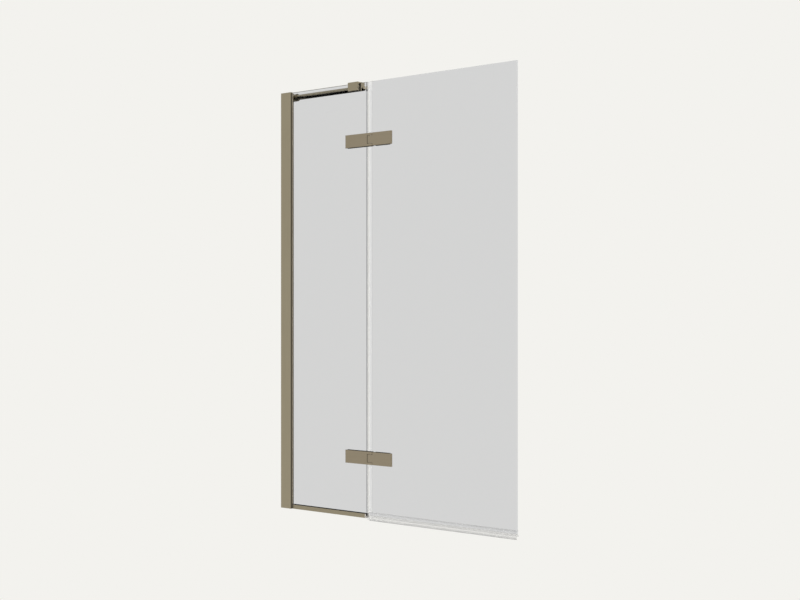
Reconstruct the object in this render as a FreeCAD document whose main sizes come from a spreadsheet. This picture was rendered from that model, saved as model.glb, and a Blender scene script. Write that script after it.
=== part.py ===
import FreeCAD, Part
import os
import re
import Sketcher

# Bath screen: a fixed glass panel in a wall profile and a low rail, braced back to the wall by a round
# bar, and a wider glass door that swings both ways on two hinges between the panels.
# X runs from the wall along the screen, Y is square to the glass with the bath at +Y, Z is up from the
# bath rim. The wall is X = 0, the middle of the glass is Y = 0 and the rim is Z = 0.

sizes = {
    # Panels
    "screen_width": 1000,
    "screen_height": 1500,
    "glass_thickness": 8,
    "glass_arris": 0.5,
    "fixed_reach": 390,
    "panel_gap": 14,
    "fixed_glass_lift": 7.2,
    "door_glass_lift": 10,
    # Wall channel
    "channel_base": 2,
    "channel_wall": 1.8,
    "channel_leg": 18,
    "channel_gap": 0.3,
    "channel_top_gap": 1,
    "wall_hole_radius": 2.75,
    "wall_hole_inset": 100,
    # Wall profile with its top cap, glazing gaskets and locking screws
    "profile_width": 48,
    "profile_depth": 32,
    "profile_wall": 3,
    "profile_start": 0.5,
    "profile_round": 0.8,
    "rear_setback": 13,
    "profile_lip": 2.5,
    "pocket_web": 3,
    "web_gap": 2,
    "pocket_end_gap": 2,
    "glazing_gap": 2.4,
    "glazing_reach": 6,
    "glazing_barb": 1.6,
    "cap_thickness": 1.5,
    "cap_glass_gap": 0.3,
    "cap_spigot": 10,
    "cap_spigot_gap": 0.4,
    "lock_inset": 12,
    "lock_end_inset": 150,
    "lock_radius": 2,
    "lock_head_radius": 3.8,
    "lock_head": 1.8,
    "lock_length": 7.5,
    "cover_radius": 5.5,
    "cover_height": 1.4,
    "cover_round": 0.9,
    # Bottom rail
    "rail_height": 14.4,
    "rail_depth": 18,
    "rail_wall": 1.8,
    "rail_base": 2,
    "rail_gap": 0.3,
    "rail_gasket": 6,
    "rail_gasket_crown": 1.4,
    "rail_plug": 2,
    "rail_plug_spigot": 8,
    "rail_plug_gap": 0.3,
    "setting_block": 60,
    "setting_block_inset": 50,
    # Support bar and its wall socket
    "bar_offset": 30,
    "bar_drop": 12.7,
    "bar_radius": 9.5,
    "bar_wall": 1.5,
    "bar_overhang": 15.35,
    "bar_cap": 2,
    "bar_cap_round": 1.2,
    "bar_plug": 6,
    "socket_radius": 13.5,
    "socket_reach": 42,
    "socket_round": 1,
    "socket_seat": 3,
    "flange_thickness": 5,
    "flange_spigot": 10,
    "flange_spigot_radius": 9.5,
    "flange_hole_radius": 2.2,
    "flange_hole_spacing": 10,
    "grub_radius": 2,
    "grub_recess": 0.6,
    "socket_grub_inset": 8,
    # Clamp that carries the bar on the fixed glass
    "clamp_inset": 31,
    "clamp_length": 44.7,
    "clamp_drop": 25.9,
    "clamp_roof": 3.2,
    "clamp_liner": 0.8,
    "front_jaw": 8.7,
    "rear_jaw": 5,
    "saddle_reach": 17,
    "saddle_drop": 15.5,
    "clamp_round": 0.8,
    "neck_radius": 7,
    "clamp_grub_radius": 2.5,
    "clamp_grub_inset": 8,
    "clamp_grub_drop": 20,
    "bar_screw_radius": 2.5,
    "bar_screw_head_radius": 5,
    "bar_screw_head": 2.8,
    "bar_screw_round": 1.2,
    "bar_screw_grip": 8,
    # Hinges
    "hinge_inset": 199.5,
    "hinge_height": 44.6,
    "hinge_depth": 21,
    "hinge_gasket": 1,
    "hinge_round": 1,
    "axis_inset": 7,
    "fixed_leaf_reach": 113,
    "door_leaf_reach": 93.2,
    "leaf_bevel": 4,
    "gasket_inset": 3,
    "fixed_back_setback": 2,
    "door_back_setback": 18,
    "back_plate_gap": 0.5,
    "yoke_gap": 1,
    "ear_thickness": 8,
    "ear_gap": 1.1,
    "knuckle_gap": 1.5,
    "plate_gap": 0.3,
    "nose_back": 12.5,
    "pin_radius": 4,
    "pin_recess": 1,
    "pin_chamfer": 0.6,
    "pin_gap": 0.06,
    "bush_wall": 2,
    "bush_length": 9,
    "bush_flange": 1,
    "bush_flange_reach": 2,
    "notch_gap": 0.8,
    "notch_margin": 2,
    "notch_corner": 6,
    "screw_radius": 3,
    "screw_head_radius": 5.6,
    "screw_head": 3,
    "screw_grip": 3.5,
    "screw_spacing": 32,
    "fixed_screw_inset": 20,
    "door_screw_inset": 18,
    "key_radius": 2.2,
    "key_depth": 1.6,
    "sleeve_radius": 6,
    # Seals of the door
    "seal_skin": 1.2,
    "seal_grip": 13.4,
    "seal_web": 1.6,
    "seal_hinge_gap": 2.5,
    "bulb_wall": 1.2,
    "bulb_bite": 0.5,
    "bulb_clearance": 0.5,
    "bulb_drop": 16,
    "bottom_skin": 1.3,
    "bottom_grip": 12.2,
    "bottom_web": 1.5,
    "bottom_start": 0.3,
    "lip_drop": 18.4,
    "lip_skin": 1.4,
    "lip_curl": 3,
    "lip_curl_rise": 2.4,
    "fin_reach": 4.5,
    "fin_drop": 8,
    "fin_skin": 1.2,
    # General
    "fit_gap": 0.05,
    "overrun": 5,
}

quarter_turn = 90
key_sides = 6
tolerance = 0.001

doc = FreeCAD.newDocument("BathScreen")
sheet = doc.addObject("Spreadsheet::Sheet", "Sizes")
for row, (alias, value) in enumerate(sizes.items(), 1):
    sheet.set(f"A{row}", alias)
    sheet.set(f"B{row}", str(value))
    sheet.setAlias(f"B{row}", alias)
doc.recompute()
nodes = []


# Binding and small helpers

def formula(text):
    return re.sub(r"[a-z_]+", lambda word: f"Sizes.{word[0]}" if word[0] in sizes else word[0], text)


def bind(item, **formulas):
    for path, text in formulas.items():
        item.setExpression(path.replace("__", "."), formula(text))


def place(item, x, y, z):
    bind(item, Placement__Base__x=x, Placement__Base__y=y, Placement__Base__z=z)


def node(item, label):
    item.Label = label
    nodes.append(item)
    return item


def box(name, x, y, z):
    item = doc.addObject("Part::Box", name)
    bind(item, Length=f"({x[1]}) - ({x[0]})", Width=f"({y[1]}) - ({y[0]})", Height=f"({z[1]}) - ({z[0]})")
    place(item, x[0], y[0], z[0])
    return item


def turned(item, direction):
    # A primitive stands along Z; this lays it along X or Y.
    turns = {"x": FreeCAD.Vector(0, 1, 0), "y": FreeCAD.Vector(-1, 0, 0)}
    if direction in turns:
        item.Placement = FreeCAD.Placement(FreeCAD.Vector(), FreeCAD.Rotation(turns[direction], quarter_turn))


def set_along(item, direction, start, across):
    at = {"x": (start, *across), "y": (across[0], start, across[1]), "z": (*across, start)}
    place(item, *at[direction])


def rod(name, direction, radius, start, end, across):
    item = doc.addObject("Part::Cylinder", name)
    turned(item, direction)
    bind(item, Radius=radius, Height=f"({end}) - ({start})")
    set_along(item, direction, start, across)
    return item


def taper(name, direction, radii, start, end, across):
    item = doc.addObject("Part::Cone", name)
    turned(item, direction)
    bind(item, Radius1=radii[0], Radius2=radii[1], Height=f"({end}) - ({start})")
    set_along(item, direction, start, across)
    return item


def hex_key(name, direction, start, end, across):
    item = doc.addObject("Part::Prism", name)
    turned(item, direction)
    item.Polygon = key_sides
    bind(item, Circumradius="key_radius", Height=f"({end}) - ({start})")
    set_along(item, direction, start, across)
    return item


def fuse(name, items):
    joined = doc.addObject("Part::MultiFuse", name)
    joined.Shapes = items
    joined.Refine = True
    return joined


def cut(name, base, tools):
    tool = tools[0] if len(tools) == 1 else fuse(f"{name}_tools", tools)
    result = doc.addObject("Part::Cut", name)
    result.Base = base
    result.Tool = tool
    result.Refine = True
    return result


def common(name, items):
    shared = doc.addObject("Part::MultiCommon", name)
    shared.Shapes = items
    return shared


def group(name, items):
    if len(items) == 1:
        return items[0]
    together = doc.addObject("Part::Compound", name)
    together.Links = items
    return together


def outline(body, role, name, corners, lift):
    sketch = body.newObject("Sketcher::SketchObject", name)
    plane = next(item for item in body.Origin.OriginFeatures if item.Role == role)
    sketch.AttachmentSupport = [(plane, "")]
    sketch.MapMode = "FlatFace"
    bind(sketch, AttachmentOffset__Base__z=lift)
    count = len(corners)
    # The lines start out on a rough ring, and the constraints then draw them to the outline.
    ring = [FreeCAD.Vector(count + step, step * step % count, 0) for step in range(count)]
    for step in range(count):
        sketch.addGeometry(Part.LineSegment(ring[step], ring[(step + 1) % count]), False)
    for step in range(count):
        sketch.addConstraint(Sketcher.Constraint("Coincident", step, 2, (step + 1) % count, 1))
    for step, corner in enumerate(corners):
        for kind, text in zip(("DistanceX", "DistanceY"), corner):
            index = sketch.addConstraint(Sketcher.Constraint(kind, -1, 1, step, 1, count))
            sketch.setExpression(f"Constraints[{index}]", formula(text))
    return sketch


def extrusion(name, role, corners, lift, length):
    body = doc.addObject("PartDesign::Body", name)
    sketch = outline(body, role, f"{name}_outline", corners, lift)
    pad = body.newObject("PartDesign::Pad", f"{name}_pad")
    pad.Profile = sketch
    bind(pad, Length=length)
    doc.recompute()
    return body


def chosen_edges(shape, wanted):
    return [index for index, edge in enumerate(shape.Edges, 1) if wanted(edge)]


def dressed(body, kind, size, wanted):
    # A PartDesign Fillet or Chamfer on the edges of the body that the test picks.
    base = body.Tip
    names = [f"Edge{index}" for index in chosen_edges(base.Shape, wanted)]
    feature = body.newObject(f"PartDesign::{kind}", f"{body.Name}_{kind.lower()}")
    feature.Base = (base, names)
    bind(feature, **{"Radius" if kind == "Fillet" else "Size": size})
    doc.recompute()
    return body


def rounded(name, base, size, wanted):
    doc.recompute()
    result = doc.addObject("Part::Fillet", name)
    result.Base = base
    radius = sheet.get(size)
    result.Edges = [(index, radius, radius) for index in chosen_edges(base.Shape, wanted)]
    return result


def value(text):
    # The present number of a formula, for picking edges by place.
    probe = doc.getObject("Probe") or doc.addObject("App::FeaturePython", "Probe")
    if not hasattr(probe, "Reading"):
        probe.addProperty("App::PropertyFloat", "Reading")
    probe.setExpression("Reading", formula(text))
    probe.recompute()
    return probe.Reading


def lies(edge, axis, place_text):
    # Whether a whole edge lies in the plane at this place along an axis.
    bounds = edge.BoundBox
    low = getattr(bounds, f"{axis}Min")
    high = getattr(bounds, f"{axis}Max")
    there = value(place_text)
    return abs(low - there) < tolerance and abs(high - there) < tolerance


# Places that several pieces share

glass_half = "glass_thickness / 2"
profile_half = "profile_depth / 2"
profile_top = "screen_height - cap_thickness"
web_front = "channel_leg + web_gap"
web_back = f"{web_front} + pocket_web"
fixed_start = f"{web_back} + pocket_end_gap"
rear_end = "profile_width - rear_setback"
lip_face = f"{glass_half} + glazing_gap"
door_edge = "fixed_reach + panel_gap"
axis_x = f"{door_edge} + axis_inset"
hinge_half = "hinge_height / 2"
leaf_half = "hinge_depth / 2"
plate_face = f"{glass_half} + hinge_gasket"
notch_back = f"{axis_x} + nose_back + notch_gap"
notch_half = f"{hinge_half} + notch_margin"
hinge_levels = {"upper": "screen_height - hinge_inset", "lower": "fixed_glass_lift + hinge_inset"}
fixed_screws = ["fixed_reach - fixed_screw_inset", "fixed_reach - fixed_screw_inset - screw_spacing"]
door_screws = [f"{notch_back} + door_screw_inset", f"{notch_back} + door_screw_inset + screw_spacing"]
bar_level = "screen_height - bar_drop"
clamp_end = "fixed_reach - clamp_inset"
clamp_start = f"{clamp_end} - clamp_length"
clamp_middle = f"{clamp_end} - clamp_length / 2"
bar_end = f"{clamp_middle} + bar_overhang"


# Wall channel, screwed to the wall inside the profile

channel_half = f"({profile_half} - profile_wall - channel_gap)"
channel_section = [
    ("0", f"-{channel_half}"),
    ("channel_leg", f"-{channel_half}"),
    ("channel_leg", f"channel_wall - {channel_half}"),
    ("channel_base", f"channel_wall - {channel_half}"),
    ("channel_base", f"{channel_half} - channel_wall"),
    ("channel_leg", f"{channel_half} - channel_wall"),
    ("channel_leg", channel_half),
    ("0", channel_half),
]
lock_levels = ["lock_end_inset", "screen_height / 2", "screen_height - lock_end_inset"]
wall_hole_shares = ("0", "1 / 3", "2 / 3", "1")
wall_holes = []
for share in wall_hole_shares:
    level = f"wall_hole_inset + {share} * (screen_height - 2 * wall_hole_inset)"
    wall_holes.append(rod("wall_hole", "x", "wall_hole_radius", "-overrun", "channel_base + overrun",
                          ("0", level)))
channel_lock_holes = [
    rod("channel_lock_hole", "y", "lock_radius + fit_gap", "0", f"{profile_half}", ("lock_inset", level))
    for level in lock_levels
]
channel = extrusion("channel_blank", "XY_Plane", channel_section, "0", f"{profile_top} - channel_top_gap")
node(cut("wall_channel_cut", channel, wall_holes + channel_lock_holes), "wall_channel")


# Wall profile, which slides over the channel and holds the glass

profile_section = [
    ("profile_start", f"-{profile_half}"),
    ("profile_width", f"-{profile_half}"),
    ("profile_width", f"-({lip_face})"),
    ("profile_width - profile_lip", f"-({lip_face})"),
    ("profile_width - profile_lip", f"profile_wall - {profile_half}"),
    (web_back, f"profile_wall - {profile_half}"),
    (web_back, f"{profile_half} - profile_wall"),
    (f"{rear_end} - profile_lip", f"{profile_half} - profile_wall"),
    (f"{rear_end} - profile_lip", lip_face),
    (rear_end, lip_face),
    (rear_end, profile_half),
    ("profile_start", profile_half),
    ("profile_start", f"{profile_half} - profile_wall"),
    (web_front, f"{profile_half} - profile_wall"),
    (web_front, f"profile_wall - {profile_half}"),
    ("profile_start", f"profile_wall - {profile_half}"),
]


def profile_outer_corner(edge):
    upright = edge.BoundBox.ZLength > value("screen_height / 2")
    outside = lies(edge, "Y", f"-{profile_half}") or lies(edge, "Y", profile_half)
    at_end = lies(edge, "X", "profile_width") or lies(edge, "X", rear_end)
    return upright and outside and at_end


profile = extrusion("profile_blank", "XY_Plane", profile_section, "0", profile_top)
dressed(profile, "Fillet", "profile_round", profile_outer_corner)
profile_lock_holes = []
for level in lock_levels:
    spot = ("lock_inset", level)
    profile_lock_holes.append(rod("profile_lock_hole", "y", "lock_radius + fit_gap", "0",
                                  f"{profile_half} + overrun", spot))
    profile_lock_holes.append(taper("profile_lock_sink", "y", ("lock_radius", "lock_head_radius + fit_gap"),
                                    f"{profile_half} - lock_head", profile_half, spot))
node(cut("wall_profile_cut", profile, profile_lock_holes), "wall_profile")


# Cap on the top of the profile, level with the glass, with a spigot each side of it

cap_slot = f"{glass_half} + cap_glass_gap"
cap_corners = [
    ("profile_start", f"-{profile_half}"),
    ("profile_width", f"-{profile_half}"),
    ("profile_width", f"-({cap_slot})"),
    (f"{fixed_start} - cap_glass_gap", f"-({cap_slot})"),
    (f"{fixed_start} - cap_glass_gap", cap_slot),
    (rear_end, cap_slot),
    (rear_end, profile_half),
    ("profile_start", profile_half),
]
cap_plate = extrusion("cap_plate", "XY_Plane", cap_corners, profile_top, "cap_thickness")
spigot_z = (f"{profile_top} - cap_spigot", profile_top)
spigot_inner = f"{lip_face} + glazing_barb + cap_spigot_gap"
spigot_outer = f"{profile_half} - profile_wall - cap_spigot_gap"
front_spigot = box("cap_front_spigot",
                   (f"{web_back} + cap_spigot_gap", "profile_width - profile_lip - cap_spigot_gap"),
                   (f"-({spigot_outer})", f"-({spigot_inner})"), spigot_z)
rear_spigot = box("cap_rear_spigot",
                  (f"{web_back} + cap_spigot_gap", f"{rear_end} - profile_lip - cap_spigot_gap"),
                  (spigot_inner, spigot_outer), spigot_z)
node(fuse("top_cap", [cap_plate, front_spigot, rear_spigot]), "profile_top_cap")


# Glazing gaskets, one each side of the glass, hooked behind the lips of the profile

def glazing_gasket(label, end, side):
    behind = f"{end} - profile_lip"
    corners = [
        (end, f"{side}({glass_half})"),
        (end, f"{side}({lip_face})"),
        (behind, f"{side}({lip_face})"),
        (behind, f"{side}({lip_face} + glazing_barb)"),
        (f"{end} - glazing_reach", f"{side}({lip_face})"),
        (f"{end} - glazing_reach", f"{side}({glass_half})"),
    ]
    node(extrusion(f"{label}_strip", "XY_Plane", corners, "fixed_glass_lift",
                   f"{profile_top} - fixed_glass_lift"), label)


glazing_gasket("front_glazing_gasket", "profile_width", "-")
glazing_gasket("rear_glazing_gasket", rear_end, "")


# Locking screws through the back of the profile into the channel, and their cover caps

def sunk_screw(name, direction, radii, face, head, tip, across):
    # A countersunk screw whose head lies in the plane at face and whose tip points towards -Y.
    shank = rod(f"{name}_shank", direction, radii[0], tip, face, across)
    flare = taper(f"{name}_flare", direction, radii, f"{face} - {head}", face, across)
    key = hex_key(f"{name}_key", direction, f"{face} - key_depth", f"{face} + overrun", across)
    return cut(f"{name}_cut", fuse(f"{name}_solid", [shank, flare]), [key])


def edge_on_plane(axis, place_text):
    return lambda edge: lies(edge, axis, place_text)


lock_screws = []
cover_caps = []
for level in lock_levels:
    spot = ("lock_inset", level)
    lock_screws.append(sunk_screw("lock_screw", "y", ("lock_radius", "lock_head_radius"), profile_half,
                                  "lock_head", f"{profile_half} - lock_length", spot))
    disc = rod("cover_disc", "y", "cover_radius", profile_half, f"{profile_half} + cover_height", spot)
    cover_caps.append(rounded("cover_cap", disc, "cover_round",
                              edge_on_plane("Y", f"{profile_half} + cover_height")))
node(group("lock_screw_set", lock_screws), "profile_lock_screws")
node(group("cover_cap_set", cover_caps), "screw_cover_caps")


# Bottom rail on the bath rim, its gaskets, its end plug and the blocks that the fixed glass stands on

rail_half = "rail_depth / 2"
rail_section = [
    (f"-{rail_half}", "0"),
    (rail_half, "0"),
    (rail_half, "rail_height"),
    (f"{rail_half} - rail_wall", "rail_height"),
    (f"{rail_half} - rail_wall", "rail_base"),
    (f"rail_wall - {rail_half}", "rail_base"),
    (f"rail_wall - {rail_half}", "rail_height"),
    (f"-{rail_half}", "rail_height"),
]
rail_start = "profile_width + rail_gap"
rail_end = "fixed_reach - rail_plug"
rail_length = f"{rail_end} - ({rail_start})"
node(extrusion("rail", "YZ_Plane", rail_section, rail_start, rail_length), "bottom_rail")


def rail_gasket(label, side):
    corners = [
        (f"{side}({glass_half})", "rail_height - rail_gasket"),
        (f"{side}({rail_half} - rail_wall)", "rail_height - rail_gasket / 2"),
        (f"{side}({rail_half} - rail_wall)", "rail_height"),
        (f"{side}({glass_half})", "rail_height + rail_gasket_crown"),
    ]
    node(extrusion(f"{label}_strip", "YZ_Plane", corners, rail_start, rail_length), label)


rail_gasket("front_rail_gasket", "-")
rail_gasket("rear_rail_gasket", "")

plug_slot = f"{glass_half} + rail_plug_gap"
plug_shelf = "fixed_glass_lift - rail_plug_gap"
plug_section = [
    (f"-{rail_half}", "0"),
    (rail_half, "0"),
    (rail_half, "rail_height"),
    (plug_slot, "rail_height"),
    (plug_slot, plug_shelf),
    (f"-({plug_slot})", plug_shelf),
    (f"-({plug_slot})", "rail_height"),
    (f"-{rail_half}", "rail_height"),
]
plug_half = f"{rail_half} - rail_wall - rail_plug_gap"
plug_plate = extrusion("rail_plug_plate", "YZ_Plane", plug_section, rail_end, "rail_plug")
plug_tongue = box("rail_plug_tongue", (f"{rail_end} - rail_plug_spigot", rail_end),
                  (f"-({plug_half})", plug_half), ("rail_base + rail_plug_gap", plug_shelf))
node(fuse("rail_plug_solid", [plug_plate, plug_tongue]), "rail_end_plug")

block_starts = [f"{rail_start} + setting_block_inset", "fixed_reach - setting_block_inset - setting_block"]
setting_blocks = [
    box("setting_block_piece", (start, f"{start} + setting_block"), (f"-{glass_half}", glass_half),
        ("rail_base", "fixed_glass_lift"))
    for start in block_starts
]
node(group("setting_block_set", setting_blocks), "glass_setting_blocks")


# Glass panels, drilled for the hinge screws, the door notched round its knuckles

def sleeve_holes(places):
    return [
        rod("glass_hole", "y", "sleeve_radius + fit_gap", f"-{glass_half} - overrun",
            f"{glass_half} + overrun", (place_x, level))
        for level in hinge_levels.values()
        for place_x in places
    ]


def on_glass_face(edge):
    return lies(edge, "Y", f"-{glass_half}") or lies(edge, "Y", glass_half)


fixed_corners = [
    (fixed_start, "fixed_glass_lift"),
    ("fixed_reach", "fixed_glass_lift"),
    ("fixed_reach", "screen_height"),
    (fixed_start, "screen_height"),
]
fixed_pane = extrusion("fixed_pane", "XZ_Plane", fixed_corners, f"-{glass_half}", "glass_thickness")
dressed(fixed_pane, "Chamfer", "glass_arris", on_glass_face)
node(cut("fixed_pane_drilled", fixed_pane, sleeve_holes(fixed_screws)), "fixed_glass")

door_corners = [
    (door_edge, "door_glass_lift"),
    ("screen_width", "door_glass_lift"),
    ("screen_width", "screen_height"),
    (door_edge, "screen_height"),
]
for level in hinge_levels.values():
    door_corners.append((door_edge, f"{level} + {notch_half}"))
    door_corners.append((notch_back, f"{level} + {notch_half}"))
    door_corners.append((notch_back, f"{level} - ({notch_half})"))
    door_corners.append((door_edge, f"{level} - ({notch_half})"))


def notch_corner_edge(edge):
    return lies(edge, "X", notch_back) and edge.BoundBox.YLength > value(glass_half)


door_pane = extrusion("door_pane", "XZ_Plane", door_corners, f"-{glass_half}", "glass_thickness")
dressed(door_pane, "Fillet", "notch_corner", notch_corner_edge)
dressed(door_pane, "Chamfer", "glass_arris", on_glass_face)
node(cut("door_pane_drilled", door_pane, sleeve_holes(door_screws)), "door_glass")


def sleeves(label, places):
    pieces = []
    for level in hinge_levels.values():
        for place_x in places:
            spot = (place_x, level)
            bush = rod("sleeve_body", "y", "sleeve_radius", f"-{glass_half}", glass_half, spot)
            bore = rod("sleeve_bore", "y", "screw_radius + fit_gap", f"-{glass_half} - overrun",
                       f"{glass_half} + overrun", spot)
            pieces.append(cut("sleeve", bush, [bore]))
    node(group(f"{label}_set", pieces), label)


sleeves("fixed_glass_sleeves", fixed_screws)
sleeves("door_glass_sleeves", door_screws)


# Support bar from the wall to the clamp, with its wall flange, socket and end cap

bar_line = ("bar_offset", bar_level)
flange_disc = rod("flange_disc", "x", "socket_radius", "0", "flange_thickness", bar_line)
flange_stub = rod("flange_stub", "x", "flange_spigot_radius", "0", "flange_thickness + flange_spigot",
                  bar_line)
flange_holes = [
    rod("flange_hole", "x", "flange_hole_radius", "-overrun", "flange_thickness + flange_spigot + overrun",
        ("bar_offset", f"{bar_level} {side} flange_hole_spacing / 2"))
    for side in ("+", "-")
]
node(cut("flange_drilled", fuse("flange_solid", [flange_disc, flange_stub]), flange_holes), "bar_wall_flange")

stub_end = "flange_thickness + flange_spigot"
bar_start = f"{stub_end} + socket_seat"
socket_tube = rod("socket_tube", "x", "socket_radius", "flange_thickness", "socket_reach", bar_line)
socket_ring = rounded("socket_ring", socket_tube, "socket_round", edge_on_plane("X", "socket_reach"))
socket_grubs = [f"{stub_end} / 2 + flange_thickness / 2", "socket_reach - socket_grub_inset"]
socket_cuts = [
    rod("stub_bore", "x", "flange_spigot_radius + fit_gap", "flange_thickness - overrun", stub_end, bar_line),
    rod("bar_bore", "x", "bar_radius + fit_gap", bar_start, "socket_reach + overrun", bar_line),
]
for spot_x in socket_grubs:
    socket_cuts.append(rod("socket_grub_hole", "z", "grub_radius + fit_gap",
                           f"{bar_level} - socket_radius - overrun", bar_level, (spot_x, "bar_offset")))
node(cut("socket_bored", socket_ring, socket_cuts), "bar_socket")

socket_grub_screws = []
for spot_x, seat in zip(socket_grubs, ("flange_spigot_radius", "bar_radius")):
    grub = rod("socket_grub_rod", "z", "grub_radius", f"{bar_level} - socket_radius + grub_recess",
               f"{bar_level} - {seat} - fit_gap", (spot_x, "bar_offset"))
    socket_grub_screws.append(grub)
node(group("socket_grub_set", socket_grub_screws), "socket_grub_screws")

bar_solid = rod("bar_solid", "x", "bar_radius", bar_start, bar_end, bar_line)
bar_hollow = rod("bar_hollow", "x", "bar_radius - bar_wall", f"{bar_start} - overrun", f"{bar_end} + overrun",
                 bar_line)
bar_screw_hole = rod("bar_screw_hole", "y", "bar_screw_radius + fit_gap", "bar_offset - bar_radius - overrun",
                     "bar_offset + bar_radius + overrun", (clamp_middle, bar_level))
node(cut("bar_bored", bar_solid, [bar_hollow, bar_screw_hole]), "support_bar")

cap_disc = rod("bar_cap_disc", "x", "bar_radius", bar_end, f"{bar_end} + bar_cap", bar_line)
cap_dome = rounded("bar_cap_dome", cap_disc, "bar_cap_round", edge_on_plane("X", f"{bar_end} + bar_cap"))
cap_plug = rod("bar_cap_plug", "x", "bar_radius - bar_wall - fit_gap", f"{bar_end} - bar_plug", bar_end,
               bar_line)
node(fuse("bar_cap_solid", [cap_dome, cap_plug]), "bar_end_cap")


# Clamp over the top edge of the fixed glass, with a saddle and a neck at the back that the bar rests in

liner_half = f"{glass_half} + clamp_liner"
clamp_front = f"-({liner_half} + front_jaw)"
jaw_back = f"{liner_half} + rear_jaw"
clamp_back = f"{jaw_back} + saddle_reach"
saddle_floor = "screen_height - saddle_drop"
clamp_floor = "screen_height - clamp_drop"
clamp_ceiling = "screen_height + clamp_liner"
clamp_section = [
    (clamp_front, clamp_floor),
    (f"-({liner_half})", clamp_floor),
    (f"-({liner_half})", clamp_ceiling),
    (liner_half, clamp_ceiling),
    (liner_half, clamp_floor),
    (jaw_back, clamp_floor),
    (jaw_back, saddle_floor),
    (clamp_back, saddle_floor),
    (clamp_back, f"{clamp_ceiling} + clamp_roof"),
    (clamp_front, f"{clamp_ceiling} + clamp_roof"),
]


def clamp_outer_edge(edge):
    return lies(edge, "Y", clamp_front) or lies(edge, "Y", clamp_back)


clamp_blank = extrusion("clamp_blank", "YZ_Plane", clamp_section, clamp_start, "clamp_length")
dressed(clamp_blank, "Fillet", "clamp_round", clamp_outer_edge)
neck = rod("clamp_neck", "y", "neck_radius", liner_half, "bar_offset", (clamp_middle, bar_level))
bar_seat = rod("clamp_bar_seat", "x", "bar_radius + fit_gap", f"{clamp_start} - overrun",
               f"{clamp_end} + overrun", bar_line)
neck_screw_hole = rod("neck_screw_hole", "y", "bar_screw_radius + fit_gap",
                      "bar_offset - bar_radius - bar_screw_grip", "bar_offset", (clamp_middle, bar_level))
clamp_grub_places = [f"{clamp_start} + clamp_grub_inset", f"{clamp_end} - clamp_grub_inset"]
clamp_grub_level = "screen_height - clamp_grub_drop"
clamp_grub_holes = [
    rod("clamp_grub_hole", "y", "clamp_grub_radius + fit_gap", "0", f"{jaw_back} + overrun",
        (place_x, clamp_grub_level))
    for place_x in clamp_grub_places
]
clamp_solid = fuse("clamp_solid", [clamp_blank, neck])
node(cut("clamp_drilled", clamp_solid, [bar_seat, neck_screw_hole] + clamp_grub_holes), "clamp_body")

liner_section = [
    (f"-({liner_half})", clamp_floor),
    (f"-{glass_half}", clamp_floor),
    (f"-{glass_half}", "screen_height"),
    (glass_half, "screen_height"),
    (glass_half, clamp_floor),
    (liner_half, clamp_floor),
    (liner_half, clamp_ceiling),
    (f"-({liner_half})", clamp_ceiling),
]
node(extrusion("liner", "YZ_Plane", liner_section, clamp_start, "clamp_length"), "clamp_liner")

clamp_grub_screws = []
for place_x in clamp_grub_places:
    spot = (place_x, clamp_grub_level)
    stem = rod("clamp_grub_stem", "y", "clamp_grub_radius", liner_half, f"{jaw_back} - fit_gap", spot)
    clamp_grub_screws.append(stem)
node(group("clamp_grub_set", clamp_grub_screws), "clamp_grub_screws")

bar_back = "bar_offset + bar_radius"
bar_screw_shank = rod("bar_screw_shank", "y", "bar_screw_radius", "bar_offset - bar_radius - bar_screw_grip",
                      bar_back, (clamp_middle, bar_level))
bar_screw_button = rod("bar_screw_button", "y", "bar_screw_head_radius", bar_back,
                       f"{bar_back} + bar_screw_head", (clamp_middle, bar_level))
bar_screw_dome = rounded("bar_screw_dome", bar_screw_button, "bar_screw_round",
                         edge_on_plane("Y", f"{bar_back} + bar_screw_head"))
bar_screw_key = hex_key("bar_screw_key", "y", f"{bar_back} + bar_screw_head - key_depth",
                        f"{bar_back} + bar_screw_head + overrun", (clamp_middle, bar_level))
node(cut("bar_screw_cut", fuse("bar_screw_solid", [bar_screw_shank, bar_screw_dome]), [bar_screw_key]),
     "bar_fixing_screw")


# Hinges: a yoke on the fixed glass holds an upright pin, and the knuckle of the door leaf turns on it

nose_radius = f"{leaf_half} * sqrt(2)"
pocket_radius = f"{nose_radius} + knuckle_gap"
pocket_half = f"{hinge_half} - ear_thickness"
nose_half = f"{pocket_half} - ear_gap"
seam_x = f"{axis_x} - sqrt(({pocket_radius}) ^ 2 - ({leaf_half}) ^ 2)"
fixed_leaf_end = f"{axis_x} - fixed_leaf_reach"
door_leaf_end = f"{axis_x} + door_leaf_reach"
yoke_start = "fixed_reach + yoke_gap"
plate_start = f"{axis_x} + {leaf_half} + plate_gap"
nose_end = f"{axis_x} + nose_back"
axis_line = (axis_x, "0")
hinge_width = (f"-{leaf_half}", leaf_half)
front_plate = (f"-{leaf_half}", f"-({plate_face})")
back_plate = (plate_face, leaf_half)


def leaf_holes(places, level):
    # Blind holes in the back of a front plate, for the tips of its screws.
    return [
        rod("leaf_hole", "y", "screw_radius + fit_gap", f"-({plate_face} + screw_grip)", "0", (place_x, level))
        for place_x in places
    ]


def end_bevel(name, end, inward, outward, span):
    # A wedge that takes off the front corner at the free end of a leaf.
    corners = [
        (f"{end} {inward} (leaf_bevel + overrun)", f"-({leaf_half} + overrun)"),
        (f"{end} {outward} overrun", f"leaf_bevel + overrun - {leaf_half}"),
        (f"{end} {outward} overrun", f"-({leaf_half} + overrun)"),
    ]
    return extrusion(name, "XY_Plane", corners, f"{span[0]} - overrun", "hinge_height + 2 * overrun")


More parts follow.
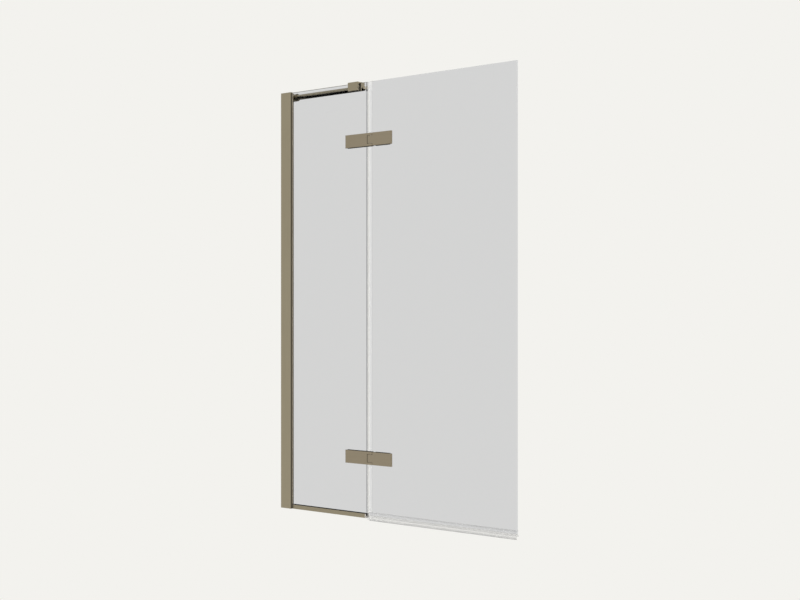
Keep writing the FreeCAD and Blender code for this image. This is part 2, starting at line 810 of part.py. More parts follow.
def back_piece(label, x, places, level, span):
    blank = box(f"{label}_blank", x, back_plate, span)
    soft = rounded(f"{label}_soft", blank, "hinge_round", edge_on_plane("Y", leaf_half))
    holes = []
    for place_x in places:
        spot = (place_x, level)
        holes.append(rod("back_hole", "y", "screw_radius + fit_gap", "0", f"{leaf_half} + overrun", spot))
        holes.append(taper("back_sink", "y", ("screw_radius", "screw_head_radius + fit_gap"),
                           f"{leaf_half} - screw_head", leaf_half, spot))
    node(cut(f"{label}_sunk", soft, holes), label)


def leaf_gaskets(label, front_x, back_x, places, level, span):
    strips = []
    for x, y in ((front_x, (f"-({plate_face})", f"-{glass_half}")), (back_x, (glass_half, plate_face))):
        strip = box("gasket_strip", x, y, span)
        holes = [
            rod("gasket_hole", "y", "screw_radius + fit_gap", f"-({plate_face}) - overrun",
                f"{plate_face} + overrun", (place_x, level))
            for place_x in places
        ]
        strips.append(cut("gasket_punched", strip, holes))
    node(group(f"{label}_set", strips), label)


def leaf_screws(label, places, level):
    screws = [
        sunk_screw("leaf_screw", "y", ("screw_radius", "screw_head_radius"), leaf_half, "screw_head",
                   f"-({plate_face} + screw_grip)", (place_x, level))
        for place_x in places
    ]
    node(group(f"{label}_set", screws), label)


def fixed_leaf(side, level):
    span = (f"{level} - {hinge_half}", f"{level} + {hinge_half}")
    plan = [
        (fixed_leaf_end, f"-{leaf_half}"),
        (axis_x, f"-{leaf_half}"),
        (axis_x, leaf_half),
        (yoke_start, leaf_half),
        (yoke_start, f"-({plate_face})"),
        (fixed_leaf_end, f"-({plate_face})"),
    ]
    blank = extrusion(f"{side}_yoke_blank", "XY_Plane", plan, span[0], "hinge_height")
    ears = rod(f"{side}_ears", "z", leaf_half, *span, axis_line)

    def outer_edge(edge):
        flat = lies(edge, "Z", span[0]) or lies(edge, "Z", span[1])
        front = lies(edge, "Y", f"-{leaf_half}")
        round_end = flat and edge.Curve.TypeId == "Part::GeomCircle"
        return front or round_end or (flat and lies(edge, "Y", leaf_half))

    whole = rounded(f"{side}_yoke_soft", fuse(f"{side}_yoke_solid", [blank, ears]), "hinge_round", outer_edge)
    pocket = rod(f"{side}_pocket", "z", pocket_radius, f"{level} - ({pocket_half})", f"{level} + {pocket_half}",
                 axis_line)
    pin_hole = rod(f"{side}_pin_hole", "z", "pin_radius + fit_gap", f"{span[0]} - overrun",
                   f"{span[1]} + overrun", axis_line)
    bevel = end_bevel(f"{side}_fixed_bevel", fixed_leaf_end, "+", "-", span)
    node(cut(f"{side}_yoke", whole, [pocket, pin_hole, bevel] + leaf_holes(fixed_screws, level)),
         f"{side}_fixed_leaf")
    back_x = (f"{fixed_leaf_end} + fixed_back_setback", f"{yoke_start} - back_plate_gap")
    back_piece(f"{side}_fixed_back_plate", back_x, fixed_screws, level, span)
    leaf_gaskets(f"{side}_fixed_gaskets", (f"{fixed_leaf_end} + gasket_inset", "fixed_reach"),
                 (back_x[0], "fixed_reach"), fixed_screws, level, span)
    leaf_screws(f"{side}_fixed_screws", fixed_screws, level)


def door_leaf(side, level):
    span = (f"{level} - {hinge_half}", f"{level} + {hinge_half}")
    nose_span = (f"{level} - ({nose_half})", f"{level} + {nose_half}")
    plate = box(f"{side}_door_plate", (plate_start, door_leaf_end), front_plate, span)

    def outer_edge(edge):
        return lies(edge, "Y", f"-{leaf_half}") and not lies(edge, "X", plate_start)

    plate_soft = rounded(f"{side}_door_plate_soft", plate, "hinge_round", outer_edge)
    slab = box(f"{side}_nose_slab", (f"{axis_x} - ({nose_radius})", axis_x), hinge_width, nose_span)
    drum = rod(f"{side}_nose_drum", "z", nose_radius, *nose_span, axis_line)
    nose = common(f"{side}_nose", [slab, drum])
    cheek = box(f"{side}_nose_cheek", (axis_x, nose_end), hinge_width, nose_span)
    bush_seats = [
        rod(f"{side}_bush_seat", "z", "pin_radius + pin_gap + bush_wall + fit_gap", *reach, axis_line)
        for reach in (
            (f"{nose_span[0]} - overrun", f"{nose_span[0]} + bush_length"),
            (f"{nose_span[1]} - bush_length", f"{nose_span[1]} + overrun"),
        )
    ]
    pin_hole = rod(f"{side}_nose_hole", "z", "pin_radius + pin_gap", *nose_span, axis_line)
    whole = fuse(f"{side}_door_leaf_solid", [plate_soft, nose, cheek])
    bevel = end_bevel(f"{side}_door_bevel", door_leaf_end, "-", "+", span)
    node(cut(f"{side}_door_leaf_bored", whole, [*bush_seats, pin_hole, bevel] + leaf_holes(door_screws, level)),
         f"{side}_door_leaf")
    back_x = (f"{notch_back} + back_plate_gap", f"{door_leaf_end} - door_back_setback")
    back_piece(f"{side}_door_back_plate", back_x, door_screws, level, span)
    leaf_gaskets(f"{side}_door_gaskets", (back_x[0], f"{door_leaf_end} - gasket_inset"), back_x, door_screws,
                 level, span)
    leaf_screws(f"{side}_door_screws", door_screws, level)


def hinge_pin(side, level):
    ends = (f"{level} - {hinge_half} + pin_recess", f"{level} + {hinge_half} - pin_recess")
    body = rod(f"{side}_pin_body", "z", "pin_radius", f"{ends[0]} + pin_chamfer", f"{ends[1]} - pin_chamfer",
               axis_line)
    foot = taper(f"{side}_pin_foot", "z", ("pin_radius - pin_chamfer", "pin_radius"), ends[0],
                 f"{ends[0]} + pin_chamfer", axis_line)
    head = taper(f"{side}_pin_head", "z", ("pin_radius", "pin_radius - pin_chamfer"),
                 f"{ends[1]} - pin_chamfer", ends[1], axis_line)
    node(fuse(f"{side}_pin", [body, foot, head]), f"{side}_hinge_pin")


def hinge_bushes(side, level):
    bush_radius = "pin_radius + pin_gap + bush_wall"
    low = f"{level} - ({nose_half})"
    high = f"{level} + {nose_half}"
    pieces = []
    for tube_span, rim_span in (
        ((low, f"{low} + bush_length"), (f"{low} - bush_flange", low)),
        ((f"{high} - bush_length", high), (high, f"{high} + bush_flange")),
    ):
        tube = rod(f"{side}_bush_tube", "z", bush_radius, *tube_span, axis_line)
        rim = rod(f"{side}_bush_rim", "z", f"{bush_radius} + bush_flange_reach", *rim_span, axis_line)
        bore = rod(f"{side}_bush_bore", "z", "pin_radius + pin_gap", f"{low} - overrun", f"{high} + overrun",
                   axis_line)
        pieces.append(cut(f"{side}_bush", fuse(f"{side}_bush_solid", [tube, rim]), [bore]))
    node(group(f"{side}_bush_set", pieces), f"{side}_hinge_bushes")


for side, level in hinge_levels.items():
    fixed_leaf(side, level)
    door_leaf(side, level)
    hinge_pin(side, level)
    hinge_bushes(side, level)


# Upright seal on the hinge edge of the door: a clip on the glass and a hollow bulb across the gap

clip_outer = f"{glass_half} + seal_skin"
web_x = f"{door_edge} - seal_web"
clip_section = [
    (web_x, f"-({clip_outer})"),
    (f"{door_edge} + seal_grip", f"-({clip_outer})"),
    (f"{door_edge} + seal_grip", f"-({glass_half})"),
    (door_edge, f"-({glass_half})"),
    (door_edge, glass_half),
    (f"{door_edge} + seal_grip", glass_half),
    (f"{door_edge} + seal_grip", clip_outer),
    (web_x, clip_outer),
]
bulb_radius = "(panel_gap - bulb_clearance - seal_web + bulb_bite) / 2"
bulb_line = (f"fixed_reach + bulb_clearance + {bulb_radius}", "0")


def edge_seal(label, bottom, top, foot):
    clip = extrusion(f"{label}_clip", "XY_Plane", clip_section, bottom, f"({top}) - ({bottom})")
    bulb = rod(f"{label}_bulb", "z", bulb_radius, foot, top, bulb_line)
    hollow = rod(f"{label}_hollow", "z", f"{bulb_radius} - bulb_wall", f"{foot} - overrun", f"{top} + overrun",
                 bulb_line)
    node(cut(f"{label}_open", fuse(f"{label}_solid", [clip, bulb]), [hollow]), label)


seal_half = f"{hinge_half} + seal_hinge_gap"
clip_top = "door_glass_lift + bottom_grip"
upper_level = hinge_levels["upper"]
lower_level = hinge_levels["lower"]
edge_seal("upper_edge_seal", f"{upper_level} + {seal_half}", "screen_height", f"{upper_level} + {seal_half}")
edge_seal("middle_edge_seal", f"{lower_level} + {seal_half}", f"{upper_level} - ({seal_half})",
          f"{lower_level} + {seal_half}")
edge_seal("lower_edge_seal", f"{clip_top} + bottom_start", f"{lower_level} - ({seal_half})",
          "door_glass_lift - bulb_drop")


# Seal under the door: a clip on the glass, a curled lip in front and a drip fin towards the bath

bottom_outer = f"{glass_half} + bottom_skin"
web_low = "door_glass_lift - bottom_web"
lip_end = "door_glass_lift - lip_drop"
bottom_section = [
    (f"-({bottom_outer})", clip_top),
    (f"-({bottom_outer})", f"{lip_end} + lip_curl_rise"),
    (f"lip_curl - ({bottom_outer})", lip_end),
    (f"lip_curl + lip_skin / 2 - ({bottom_outer})", f"{lip_end} + lip_skin"),
    (f"lip_skin - ({bottom_outer})", f"{lip_end} + lip_curl_rise + lip_skin / 2"),
    (f"lip_skin - ({bottom_outer})", web_low),
    (f"{bottom_outer} - fin_skin", web_low),
    (f"{bottom_outer} + fin_reach - fin_skin", f"{web_low} - fin_drop"),
    (f"{bottom_outer} + fin_reach", f"{web_low} - fin_drop + fin_skin"),
    (bottom_outer, f"{web_low} + fin_skin"),
    (bottom_outer, clip_top),
    (glass_half, clip_top),
    (glass_half, "door_glass_lift"),
    (f"-{glass_half}", "door_glass_lift"),
    (f"-{glass_half}", clip_top),
]
node(extrusion("bottom_seal_strip", "YZ_Plane", bottom_section, f"{door_edge} + bottom_start",
               f"screen_width - ({door_edge} + bottom_start)"), "bottom_seal")


# Checks and files

doc.removeObject("Probe")
doc.recompute()
failed = [item.Name for item in doc.Objects if {"Invalid", "Error"} & set(item.State)]
if failed:
    raise RuntimeError(f"objects that failed: {failed}")
for item in nodes:
    if item.Shape.isNull() or not item.Shape.isValid():
        raise RuntimeError(f"the shape of {item.Label} is not valid")
os.makedirs("parts", exist_ok=True)
for item in nodes:
    item.Shape.exportStep(f"parts/{item.Label}.step")
    print(f"{item.Label}: {len(item.Shape.Solids)} solids, {item.Shape.Volume:.0f} mm3")
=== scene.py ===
import math

import bpy
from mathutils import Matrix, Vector


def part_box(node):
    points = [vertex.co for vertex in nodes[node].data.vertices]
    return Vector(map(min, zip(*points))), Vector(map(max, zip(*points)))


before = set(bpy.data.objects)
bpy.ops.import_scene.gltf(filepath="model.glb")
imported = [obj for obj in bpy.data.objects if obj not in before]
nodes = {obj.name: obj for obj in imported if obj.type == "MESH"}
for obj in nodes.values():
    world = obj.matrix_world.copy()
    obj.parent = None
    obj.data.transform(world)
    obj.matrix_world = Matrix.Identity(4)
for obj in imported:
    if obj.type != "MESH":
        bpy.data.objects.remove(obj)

scene = bpy.context.scene
hinges = ("upper", "lower")
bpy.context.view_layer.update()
print("frame loaded,", len(nodes), "nodes")


# node tree helpers

colourMix = {"factor": 0, "first": 6, "second": 7, "result": 2}  # the mix node's sockets for colours


def addNode(tree, kind, place, **values):
    node = tree.nodes.new(kind)
    node.location = place
    for name, value in values.items():
        setattr(node, name, value)
    return node


def setInputs(node, **values):
    for name, value in values.items():
        node.inputs[name.replace("_", " ")].default_value = value


def joinValues(tree, operation, first, second, place):
    join = addNode(tree, "ShaderNodeMath", place, operation=operation)
    tree.links.new(first, join.inputs[0])
    tree.links.new(second, join.inputs[1])
    return join.outputs[0]


def mapRange(tree, value, place, source=(0.0, 1.0), target=(0.0, 1.0)):
    mapping = addNode(tree, "ShaderNodeMapRange", place)
    setInputs(mapping, From_Min=source[0], From_Max=source[1], To_Min=target[0], To_Max=target[1])
    tree.links.new(value, mapping.inputs["Value"])
    return mapping.outputs["Result"]


def mixColours(tree, factor, first, second, place):
    mix = addNode(tree, "ShaderNodeMix", place, data_type="RGBA")
    tree.links.new(factor, mix.inputs[colourMix["factor"]])
    mix.inputs[colourMix["first"]].default_value = (*first, 1)
    mix.inputs[colourMix["second"]].default_value = (*second, 1)
    return mix.outputs[colourMix["result"]]


def mixShaders(tree, factor, first, second, surface):
    mix = addNode(tree, "ShaderNodeMixShader", (300, 0))
    tree.links.new(factor, mix.inputs[0])
    tree.links.new(first.outputs[0], mix.inputs[1])
    tree.links.new(second.outputs[0], mix.inputs[2])
    tree.links.new(mix.outputs[0], surface)


def emptyTree(block, outputKind="ShaderNodeOutputMaterial"):
    block.use_nodes = True
    tree = block.node_tree
    tree.nodes.clear()
    output = addNode(tree, outputKind, (600, 0))
    return tree, output.inputs["Surface"]


def newSurface(name):
    material = bpy.data.materials.new(name)
    tree, surface = emptyTree(material)
    shader = addNode(tree, "ShaderNodeBsdfPrincipled", (300, 0))
    tree.links.new(shader.outputs["BSDF"], surface)
    return material, tree, shader


def addBump(tree, shader, height, look):
    bump = addNode(tree, "ShaderNodeBump", (0, -350))
    setInputs(bump, Strength=look["bump"], Distance=look["depth"])
    tree.links.new(height, bump.inputs["Height"])
    tree.links.new(bump.outputs["Normal"], shader.inputs["Normal"])


def finishNodes(names, material):
    for name in names:
        for slot in nodes[name].material_slots:
            slot.material = material


# effects that several materials share, each a node group on object coordinates

def newGroup(name, inputs, outputs):
    group = bpy.data.node_groups.new(name, "ShaderNodeTree")
    for label, kind in inputs.items():
        group.interface.new_socket(label, in_out="INPUT", socket_type=kind)
    for label in outputs:
        group.interface.new_socket(label, in_out="OUTPUT", socket_type="NodeSocketFloat")
    start = addNode(group, "NodeGroupInput", (-700, 0))
    end = addNode(group, "NodeGroupOutput", (500, 0))
    place = addNode(group, "ShaderNodeTexCoord", (-700, -250))
    return group, start, end, place


def addNoise(group, vector, place, **sources):
    noise = addNode(group, "ShaderNodeTexNoise", place)
    group.links.new(vector, noise.inputs["Vector"])
    for label, source in sources.items():
        group.links.new(source, noise.inputs[label])
    return noise


# lines left by a brushing belt, drawn out along one direction, and broad clouds in the finish

brushNoise = {
    "fine": {"Detail": 3.0, "Roughness": 0.6},
    "broad": {"Detail": 2.0, "Roughness": 0.5},
}


def makeBrushLines():
    inputs = {
        "Fine Scale": "NodeSocketFloat",
        "Broad Scale": "NodeSocketFloat",
        "Stretch": "NodeSocketVector",
    }
    group, start, end, place = newGroup("brushLines", inputs, ("Lines", "Cloud"))
    stretch = addNode(group, "ShaderNodeVectorMath", (-450, 0), operation="MULTIPLY")
    group.links.new(place.outputs["Object"], stretch.inputs[0])
    group.links.new(start.outputs["Stretch"], stretch.inputs[1])
    fine = addNoise(group, stretch.outputs[0], (-200, 100), Scale=start.outputs["Fine Scale"])
    setInputs(fine, **brushNoise["fine"])
    broad = addNoise(group, place.outputs["Object"], (-200, -200), Scale=start.outputs["Broad Scale"])
    setInputs(broad, **brushNoise["broad"])
    group.links.new(fine.outputs["Fac"], end.inputs["Lines"])
    group.links.new(broad.outputs["Fac"], end.inputs["Cloud"])
    return group


# soft patches: dried water on the glass, haze in the vinyl and grain in the plastics

def makeSoftPatches():
    inputs = {"Scale": "NodeSocketFloat", "Detail": "NodeSocketFloat"}
    group, start, end, place = newGroup("softPatches", inputs, ("Pattern",))
    given = {label: start.outputs[label] for label in inputs}
    noise = addNoise(group, place.outputs["Object"], (-200, 0), **given)
    group.links.new(noise.outputs["Fac"], end.inputs["Pattern"])
    return group


brushLines = makeBrushLines()
softPatches = makeSoftPatches()


def placePatches(tree, scale, detail, place):
    patches = addNode(tree, "ShaderNodeGroup", place, node_tree=softPatches)
    setInputs(patches, Scale=scale, Detail=detail)
    return patches.outputs["Pattern"]


# brushed bronze, with its lines level or upright, the steel of the screws and the bare channel

levelBrush = (0.012, 1.0, 1.0)
uprightBrush = (1.0, 1.0, 0.012)
bronzeLook = {
    "fineScale": 900.0,
    "broadScale": 9.0,
    "stretch": levelBrush,
    "dark": (0.313, 0.275, 0.197),
    "light": (0.373, 0.329, 0.240),
    "roughness": (0.40, 0.50),
    "bump": 0.12,
    "depth": 0.0002,
}
uprightLook = {
    **bronzeLook,
    "stretch": uprightBrush,
    "dark": (0.334, 0.293, 0.210),
    "light": (0.398, 0.351, 0.256),
}
leafLook = {
    **bronzeLook,
    "dark": (0.308, 0.262, 0.190),
    "light": (0.367, 0.3135, 0.231),
}
roundLook = {
    **bronzeLook,
    "roughness": (0.18, 0.26),
}
steelLook = {
    **bronzeLook,
    "stretch": (1.0, 0.05, 1.0),
    "dark": (0.50, 0.49, 0.47),
    "light": (0.62, 0.61, 0.59),
    "roughness": (0.25, 0.36),
}
millLook = {
    **bronzeLook,
    "stretch": uprightBrush,
    "dark": (0.60, 0.60, 0.61),
    "light": (0.72, 0.72, 0.73),
    "roughness": (0.38, 0.50),
}


def brushedMetal(name, look):
    material, tree, shader = newSurface(name)
    brush = addNode(tree, "ShaderNodeGroup", (-500, 0), node_tree=brushLines)
    setInputs(brush, Fine_Scale=look["fineScale"], Broad_Scale=look["broadScale"], Stretch=look["stretch"])
    lines = brush.outputs["Lines"]
    tint = mixColours(tree, lines, look["dark"], look["light"], (0, 200))
    tree.links.new(tint, shader.inputs["Base Color"])
    rough = mapRange(tree, brush.outputs["Cloud"], (0, -100), target=look["roughness"])
    tree.links.new(rough, shader.inputs["Roughness"])
    addBump(tree, shader, lines, look)
    setInputs(shader, Metallic=1.0)
    return material


levelNodes = ["bottom_rail", "clamp_body", "profile_top_cap", "screw_cover_caps"]
roundNodes = ["support_bar", "bar_socket", "bar_wall_flange", "bar_end_cap"]
leafNodes = []
steelNodes = ["profile_lock_screws", "socket_grub_screws", "clamp_grub_screws", "bar_fixing_screw"]
for hinge in hinges:
    for side in ("fixed", "door"):
        leafNodes += [f"{hinge}_{side}_leaf", f"{hinge}_{side}_back_plate"]
        steelNodes.append(f"{hinge}_{side}_screws")
    steelNodes.append(f"{hinge}_hinge_pin")
finishNodes(["wall_profile"], brushedMetal("bronze_upright", uprightLook))
finishNodes(levelNodes, brushedMetal("bronze_level", bronzeLook))
finishNodes(leafNodes, brushedMetal("bronze_leaf", leafLook))
finishNodes(roundNodes, brushedMetal("bronze_round", roundLook))
finishNodes(steelNodes, brushedMetal("screw_steel", steelLook))
finishNodes(["wall_channel"], brushedMetal("mill_aluminium", millLook))
print("metals done")


# clear glass, with a trace of dried water on its faces and polished edges that show no dark core; the
# edges' own tint is a painted highlight on the door's glass and painted shade on the fixed glass

doorGlassLook = {
    "faceTint": (0.730, 0.738, 0.763),
    # the edge tint, paler than the face tint, is a painted highlight along the door's edges
    "paintedEdgeTint": (0.770, 0.778, 0.803),
    "faceIor": 1.12,
    "edgeIor": 1.04,
    "faceTurn": (0.85, 0.95),  # how squarely a face looks along Y, from an edge's look to a face's
    "roughness": (0.0, 0.02),
    "spotScale": 26.0,
    "spotDetail": 4.0,
    "spotRange": (0.5, 0.8),  # the part of the pattern that shows as dried water
}
# the fixed glass's dark edge tint is painted shade along its edges
fixedGlassLook = {**doorGlassLook, "paintedEdgeTint": (0.29, 0.295, 0.305)}


def clearGlass(name, look):
    material, tree, shader = newSurface(name)
    spots = placePatches(tree, look["spotScale"], look["spotDetail"], (-450, 0))
    rough = mapRange(tree, spots, (-150, 0), look["spotRange"], look["roughness"])
    tree.links.new(rough, shader.inputs["Roughness"])
    place = addNode(tree, "ShaderNodeTexCoord", (-900, -250))
    parts = addNode(tree, "ShaderNodeSeparateXYZ", (-700, -250))
    tree.links.new(place.outputs["Normal"], parts.inputs[0])
    facing = addNode(tree, "ShaderNodeMath", (-500, -250), operation="ABSOLUTE")
    tree.links.new(parts.outputs["Y"], facing.inputs[0])
    face = mapRange(tree, facing.outputs[0], (-350, -250), look["faceTurn"])
    bend = mapRange(tree, face, (-150, -250), target=(look["edgeIor"], look["faceIor"]))
    tree.links.new(bend, shader.inputs["IOR"])
    # the edges take the painted tint: a painted highlight on the door's glass, painted shade on the fixed
    # glass
    tint = mixColours(tree, face, look["paintedEdgeTint"], look["faceTint"], (-150, 250))
    tree.links.new(tint, shader.inputs["Base Color"])
    # the export drops the link to IOR
    setInputs(shader, Transmission_Weight=1.0, IOR=look["faceIor"])  # the socket's own value is the faces' IOR, under the link
    return material


finishNodes(["fixed_glass"], clearGlass("fixed_glass", fixedGlassLook))
finishNodes(["door_glass"], clearGlass("door_glass", doorGlassLook))


# clear soft vinyl of the seals, in zones of painted light and shade along one axis, measured from the low
# edge of one seal:
# where each zone starts, its tint and how much it hides

edgeVinylLook = {
    "seal": "middle_edge_seal",
    "axis": "X",
    "span": (-0.0015, 0.0285),
    # the pale zone at 0.90 is a painted highlight and the dark zones are painted shade, all on one clear
    # vinyl
    "litAndShadedZones": [(-0.0015, 0.30, 0.05), (0.0012, 0.15, 0.09), (0.0037, 0.30, 0.05), (0.0085, 0.15, 0.09),
              (0.0111, 0.90, 0.058), (0.0253, 0.15, 0.12)],
    "roughness": 0.22,
    "hazeScale": 12.0,
    "hazeDetail": 2.0,
    "haze": (0.94, 1.06),
}
shadedBottomVinylLook = {
    **edgeVinylLook,
    "seal": "bottom_seal",
    "axis": "Z",
    "span": (-0.0006, 0.0314),
    # the bottom seal's darker tints are painted shade: the same clear vinyl as the edge seals, shaded
    "litAndShadedZones": [(-0.0006, 0.18, 0.42), (0.0022, 0.24, 0.34), (0.0074, 0.25, 0.20), (0.0119, 0.27, 0.17),
              (0.0156, 0.27, 0.14), (0.0192, 0.22, 0.06), (0.0222, 0.22, 0.13), (0.0254, 0.22, 0.36)],
}


def clearVinyl(name, look):
    material, tree, shader = newSurface(name)
    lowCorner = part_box(look["seal"])[0]
    edge = getattr(lowCorner, look["axis"].lower())
    low, high = look["span"]
    place = addNode(tree, "ShaderNodeTexCoord", (-1000, -200))
    parts = addNode(tree, "ShaderNodeSeparateXYZ", (-800, -200))
    tree.links.new(place.outputs["Object"], parts.inputs[0])
    along = mapRange(tree, parts.outputs[look["axis"]], (-600, -200), (edge + low, edge + high))
    ramp = addNode(tree, "ShaderNodeValToRGB", (-400, -200))
    tree.links.new(along, ramp.inputs["Fac"])
    stops = ramp.color_ramp
    stops.interpolation = "CONSTANT"
    while len(stops.elements) < len(look["litAndShadedZones"]):
        stops.elements.new(1.0)
    for stop, (begin, tint, hides) in zip(stops.elements, look["litAndShadedZones"]):
        stop.position = (begin - low) / (high - low)
        stop.color = (tint, tint, tint, hides)
    # the ramp paints light and shade onto the vinyl, zone by zone
    tree.links.new(ramp.outputs["Color"], shader.inputs["Base Color"])
    patches = placePatches(tree, look["hazeScale"], look["hazeDetail"], (-600, 200))
    haze = mapRange(tree, patches, (-350, 200), target=look["haze"])
    hide = joinValues(tree, "MULTIPLY", ramp.outputs["Alpha"], haze, (0, -150))
    tree.links.new(hide, shader.inputs["Alpha"])
    setInputs(shader, Roughness=look["roughness"])
    return material


edgeSeals = ["upper_edge_seal", "middle_edge_seal", "lower_edge_seal"]
finishNodes(edgeSeals, clearVinyl("edge_vinyl", edgeVinylLook))
finishNodes(["bottom_seal"], clearVinyl("shaded_bottom_vinyl", shadedBottomVinylLook))
for name in (*edgeSeals, "bottom_seal"):
    nodes[name].visible_transmission = False  # rays in the glass skip the seal that lies against it
print("glass and seals done")


# black and grey gaskets, white nylon and the grey plug of the rail

rubberLook = {
    "grainScale": 700.0,
    "grainDetail": 3.0,
    "dark": (0.006, 0.006, 0.006),
    "light": (0.014, 0.014, 0.014),
    "bump": 0.2,
    "depth": 0.0002,
    "roughness": 0.6,
    "specular": 0.1,
}
greyRubberLook = {
    **rubberLook,
    "dark": (0.41, 0.36, 0.28),
    "light": (0.54, 0.47, 0.37),
    "specular": 0.4,
}
nylonLook = {
    **rubberLook,
    "grainScale": 500.0,
    "dark": (0.62, 0.62, 0.59),
    "light": (0.74, 0.74, 0.71),
    "bump": 0.1,
    "roughness": 0.45,
    "specular": 0.5,
}
plugLook = {
    **nylonLook,
    "dark": (0.36, 0.34, 0.31),
    "light": (0.42, 0.40, 0.37),
}


def mouldedPlastic(name, look):
    material, tree, shader = newSurface(name)
    grain = placePatches(tree, look["grainScale"], look["grainDetail"], (-450, 0))
    tint = mixColours(tree, grain, look["dark"], look["light"], (-100, 200))
    tree.links.new(tint, shader.inputs["Base Color"])
    addBump(tree, shader, grain, look)
    setInputs(shader, Roughness=look["roughness"], Specular_IOR_Level=look["specular"])
    return material


rubberNodes = ["front_rail_gasket", "rear_rail_gasket", "clamp_liner"]
greyNodes = ["front_glazing_gasket", "rear_glazing_gasket"]
nylonNodes = ["glass_setting_blocks", "fixed_glass_sleeves", "door_glass_sleeves"]
for hinge in hinges:
    rubberNodes += [f"{hinge}_fixed_gaskets", f"{hinge}_door_gaskets"]
    nylonNodes.append(f"{hinge}_hinge_bushes")
finishNodes(rubberNodes, mouldedPlastic("black_rubber", rubberLook))
finishNodes(greyNodes, mouldedPlastic("grey_rubber", greyRubberLook))
finishNodes(nylonNodes, mouldedPlastic("white_nylon", nylonLook))
finishNodes(["rail_end_plug"], mouldedPlastic("grey_plug", plugLook))
print("gaskets and nylon done")


# pale studio: the world and the floor

studio = {
    "background": (0.896, 0.888, 0.855, 1),
    "ambientColour": (1, 1, 1, 1),
    "ambient": 0.55,
    "room": 0.24,  # how bright a mirror shows the room, where the camera sees the background in full
    "floorHeight": -0.55,
    "floorSize": 14.0,
}


def mirrorRays(tree, path, place):
    # above 0 for rays that come from a mirror, but 0 for those that glass has bent since
    unbent = mapRange(tree, path.outputs["Is Transmission Ray"], place, target=(1.0, 0.0))
    return joinValues(tree, "MULTIPLY", path.outputs["Glossy Depth"], unbent, place)


def lookingRays(tree, place):
    # 1 for rays that the camera, a mirror or glass sends, and 0 for rays that only carry light;
    # then the brightness that those rays see
    path = addNode(tree, "ShaderNodeLightPath", place)
    looking = path.outputs["Is Camera Ray"]
    for label in ("Is Glossy Ray", "Is Transmission Ray"):
        looking = joinValues(tree, "MAXIMUM", looking, path.outputs[label], place)
    level = mapRange(tree, mirrorRays(tree, path, place), place, target=(1.0, studio["room"]))
    return looking, level


def makeWorld():
    world = bpy.data.worlds.new("studio")
    scene.world = world
    tree, surface = emptyTree(world, "ShaderNodeOutputWorld")
    looking, level = lookingRays(tree, (-300, 0))
    seen = addNode(tree, "ShaderNodeBackground", (0, 100))
    setInputs(seen, Color=studio["background"])
    tree.links.new(level, seen.inputs["Strength"])
    light = addNode(tree, "ShaderNodeBackground", (0, -100))
    setInputs(light, Color=studio["ambientColour"], Strength=studio["ambient"])
    mixShaders(tree, looking, light, seen, surface)


def makeSheet(name, corner, along, up):
    mesh = bpy.data.meshes.new(name)
    mesh.from_pydata([corner, corner + along, corner + along + up, corner + up], [], [(0, 1, 2, 3)])
    sheet = bpy.data.objects.new(name, mesh)
    scene.collection.objects.link(sheet)
    return sheet


def makeFloor():
    size = studio["floorSize"]
    corner = Vector((-size / 2, -size / 2, studio["floorHeight"]))
    floor = makeSheet("floor", corner, Vector((size, 0, 0)), Vector((0, size, 0)))
    material = bpy.data.materials.new("pale_floor")
    tree, surface = emptyTree(material)
    looking, level = lookingRays(tree, (-300, 0))
    matt = addNode(tree, "ShaderNodeBsdfDiffuse", (0, -100))
    setInputs(matt, Color=studio["background"])
    glow = addNode(tree, "ShaderNodeEmission", (0, 100))
    setInputs(glow, Color=studio["background"])
    tree.links.new(level, glow.inputs["Strength"])
    mixShaders(tree, looking, matt, glow, surface)
    floor.data.materials.append(material)


# cards that only mirrors show: pale ones in the room, and dark flags close to the pieces that they darken,
# painted shade that those pieces' undersides and side faces mirror;
# a flag's corner is measured from an end of its piece on X, Y and Z, where 0 is the low end and 1 the high

cards = {
    "frontCard": {"corner": (-9.0, -5.0, -0.5), "along": (24.0, 0, 0), "up": (0, 0, 6.0), "level": 1.0},
    "lowCard": {"corner": (-9.0, -5.0, -0.5), "along": (24.0, 0, 0), "up": (0, 4.9, 0), "level": 1.0},
    "topCard": {"corner": (-9.0, -5.0, 4.0), "along": (24.0, 0, 0), "up": (0, 8.0, 0), "level": 1.0},
    "rearCard": {"corner": (-0.9, 5.0, -0.5), "along": (2.8, 0, 0), "up": (0, 0, 4.0), "level": 1.2},
    "clampCard": {"corner": (0.6, 0.02, 1.42), "along": (0, 0.45, 0), "up": (0, 0, 0.4), "level": 1.7},
}
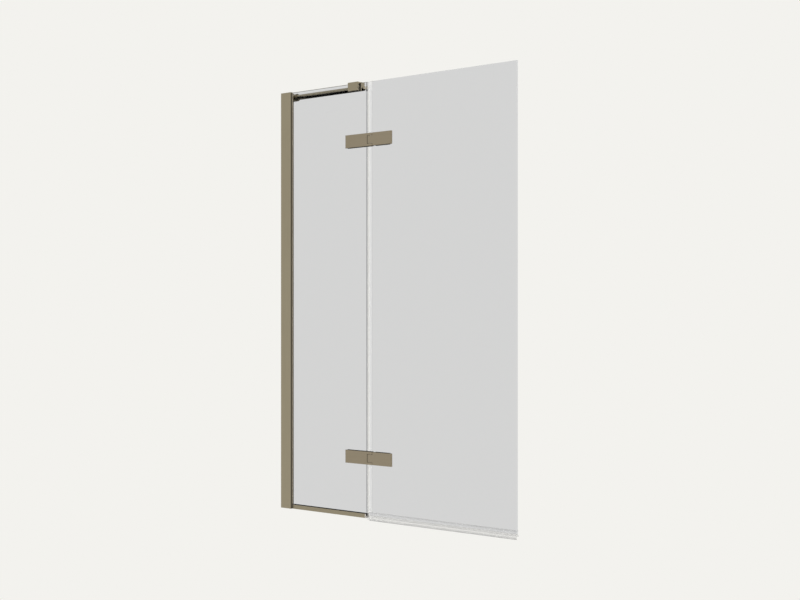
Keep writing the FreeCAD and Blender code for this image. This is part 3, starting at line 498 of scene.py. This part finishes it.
# each flag is painted shade: a dark or grey sheet set just against an underside or side face, so that the
# face mirrors it
flags = {
    "profileFlag": {"piece": "wall_profile", "ends": (1, 0, 0), "corner": (0.0007, -0.0005, 0),
                    "along": (0, 0.012, 0), "up": (0, 0, 1.498), "level": 0.26},
    "upperLeafFlag": {"piece": "upper_fixed_leaf", "ends": (0, 0, 0), "corner": (0, 0, -0.0007),
                      "along": (0.2062, 0, 0), "up": (0, 0.021, 0), "level": 0.2},
    "lowerLeafFlag": {"piece": "lower_fixed_leaf", "ends": (0, 0, 1), "corner": (0, 0, 0.0007),
                      "along": (0.2062, 0, 0), "up": (0, 0.021, 0), "level": 0.2},
    "jawFlag": {"piece": "clamp_body", "ends": (0, 0, 0), "corner": (0, -0.0005, -0.0007),
                "along": (0.0447, 0, 0), "up": (0, 0.0094, 0), "level": 0.0},
    "barFlag": {"piece": "bar_socket", "ends": (1, 0, 0), "corner": (0.001, 0, -0.0438),
                "along": (0.314, 0, 0), "up": (0, 0, 0.0545), "level": 0.0},
    "barTray": {"piece": "bar_socket", "ends": (1, 0, 0), "corner": (0.001, 0, -0.0438),
                "along": (0.32, 0, 0), "up": (0, 0.06, 0), "level": 0.0},
    "endFlag": {"piece": "clamp_body", "ends": (1, 0, 0), "corner": (0.0007, 0.0255, -0.0061),
                "along": (0, 0.0125, 0.0026), "up": (0, 0, 0.0178), "level": 0.0},
    "capFlag": {"piece": "bar_end_cap", "ends": (1, 0, 0), "corner": (0.0005, -0.001, -0.0038),
                "along": (0, 0.0205, 0), "up": (0, 0, 0.0103), "level": 0.0},
}


def makeCard(name, card, start):
    corner, along, up = (Vector(card[part]) for part in ("corner", "along", "up"))
    item = makeSheet(name, start + corner, along, up)
    material = bpy.data.materials.new(name)
    tree, surface = emptyTree(material)
    path = addNode(tree, "ShaderNodeLightPath", (-300, 300))
    clear = addNode(tree, "ShaderNodeBsdfTransparent", (0, -100))
    glow = addNode(tree, "ShaderNodeEmission", (0, 0))
    setInputs(glow, Color=studio["background"], Strength=card["level"])
    mixShaders(tree, mirrorRays(tree, path, (0, 300)), clear, glow, surface)
    item.data.materials.append(material)
    item.visible_camera = False
    item.visible_diffuse = False
    item.visible_shadow = False


def makeFlag(name, flag):
    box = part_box(flag["piece"])
    start = Vector([box[end][axis] for axis, end in enumerate(flag["ends"])])
    makeCard(name, flag, start)


# soft boxes, which light the screen but show neither in the glass nor in the metal

softBoxes = {
    "key": {"at": (-2.2, -3.2, 2.6), "aim": (0.5, 0, 0.75), "size": (2.4, 2.4), "power": 300},
    "fill": {"at": (2.8, -2.6, 1.6), "aim": (0.5, 0, 0.75), "size": (1.6, 2.4), "power": 60},
}


def makeSoftBox(name, box):
    data = bpy.data.lights.new(name, "AREA")
    data.shape = "RECTANGLE"
    data.size, data.size_y = box["size"]
    data.energy = box["power"]
    lamp = bpy.data.objects.new(name, data)
    lamp.location = box["at"]
    lamp.visible_glossy = False
    lamp.visible_transmission = False
    lamp.rotation_euler = (Vector(box["aim"]) - Vector(box["at"])).to_track_quat("-Z", "Y").to_euler()
    scene.collection.objects.link(lamp)


makeWorld()
makeFloor()
for name, card in cards.items():
    makeCard(name, card, Vector((0, 0, 0)))
for name, flag in flags.items():
    makeFlag(name, flag)
for name, box in softBoxes.items():
    makeSoftBox(name, box)


# camera, as solved from the photo's upright and level edges

view = {
    "at": (3.1189, -3.3341, 0.7082),
    "tilt": 90.0,
    "turn": 37.79,
    "lens": 56.29,
    "sensor": 36.0,
    "shift": 0.01506,
}
camera = bpy.data.objects.new("camera", bpy.data.cameras.new("camera"))
camera.data.lens = view["lens"]
camera.data.sensor_width = view["sensor"]
camera.data.sensor_fit = "HORIZONTAL"
camera.data.shift_y = view["shift"]
camera.location = view["at"]
camera.rotation_euler = (math.radians(view["tilt"]), 0, math.radians(view["turn"]))
scene.collection.objects.link(camera)
scene.camera = camera
scene.view_settings.view_transform = "Standard"
print("studio and camera done")
